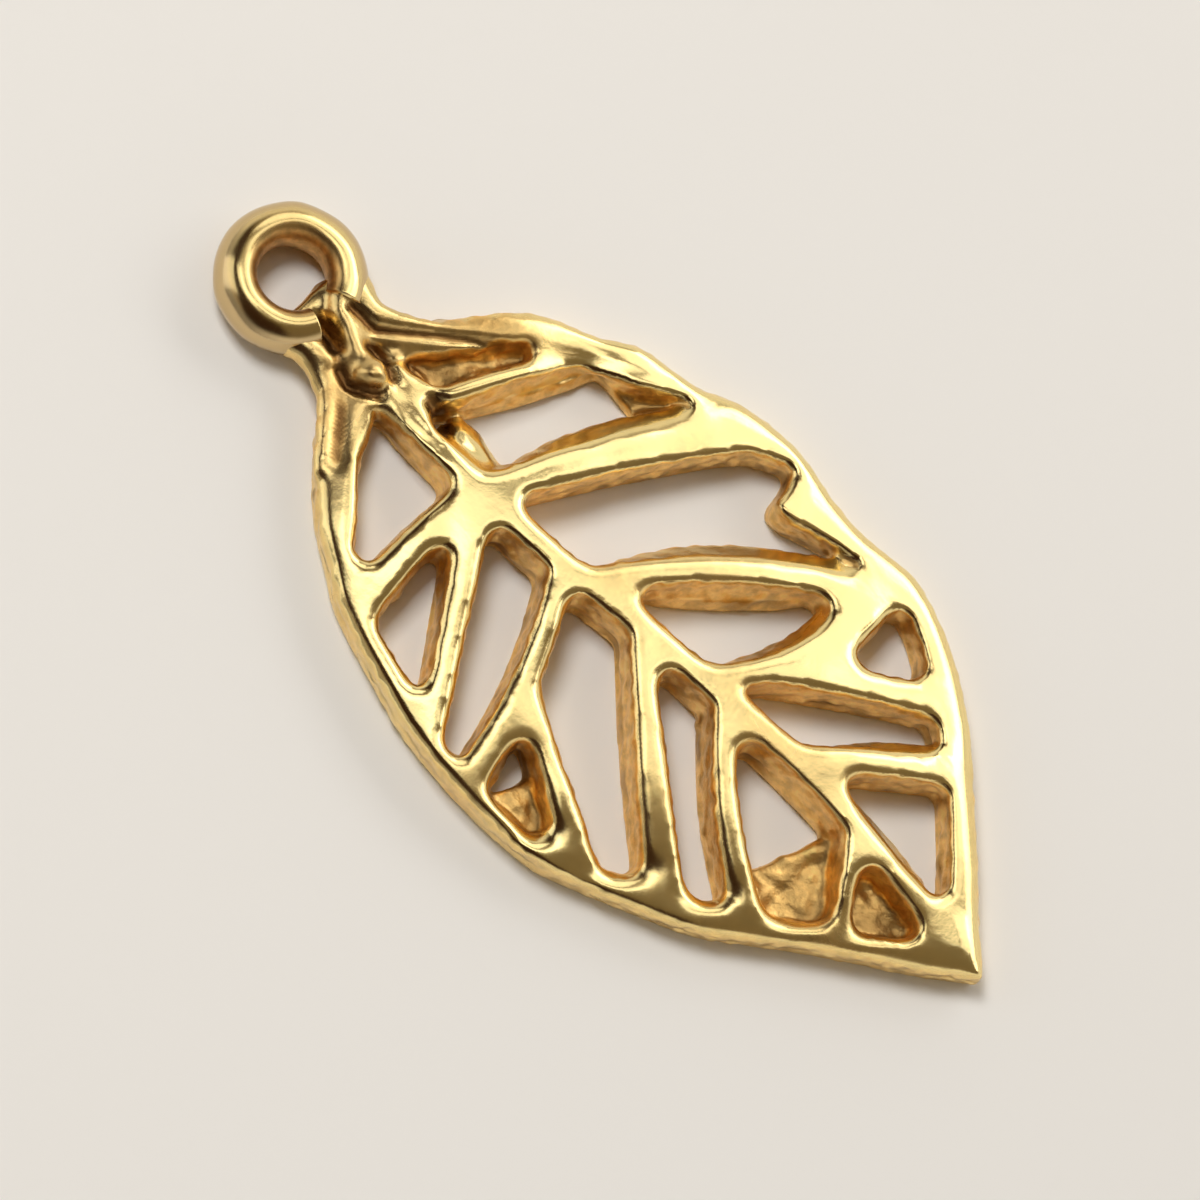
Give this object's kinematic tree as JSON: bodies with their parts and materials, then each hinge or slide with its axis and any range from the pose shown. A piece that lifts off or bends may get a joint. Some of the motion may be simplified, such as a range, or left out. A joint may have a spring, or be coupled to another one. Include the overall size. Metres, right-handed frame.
{
  "type": "leaf hair charm",
  "caption": "Flat-backed openwork leaf charm in plated brass: a lattice of veins inside a rim, with a round loop at the stem for tying into hair or onto a cord.",
  "frame": {"origin": "centre of the charm's bounding box, on the flat back", "axes": "+X from the loop to the leaf's tip, +Y to the right side of the leaf with its stem towards the viewer, +Z out of the crowned front"},
  "size_m": [0.025, 0.012, 0.0015],
  "materials": {
    "gold_plating": "polished gold plating over cast brass, grainy in the openings",
    "loop_plating": "polished gold plating over brass wire"
  },
  "bodies": {
    "root": {"leaf": "gold_plating", "eye_loop": "loop_plating"}
  },
  "joints": []
}
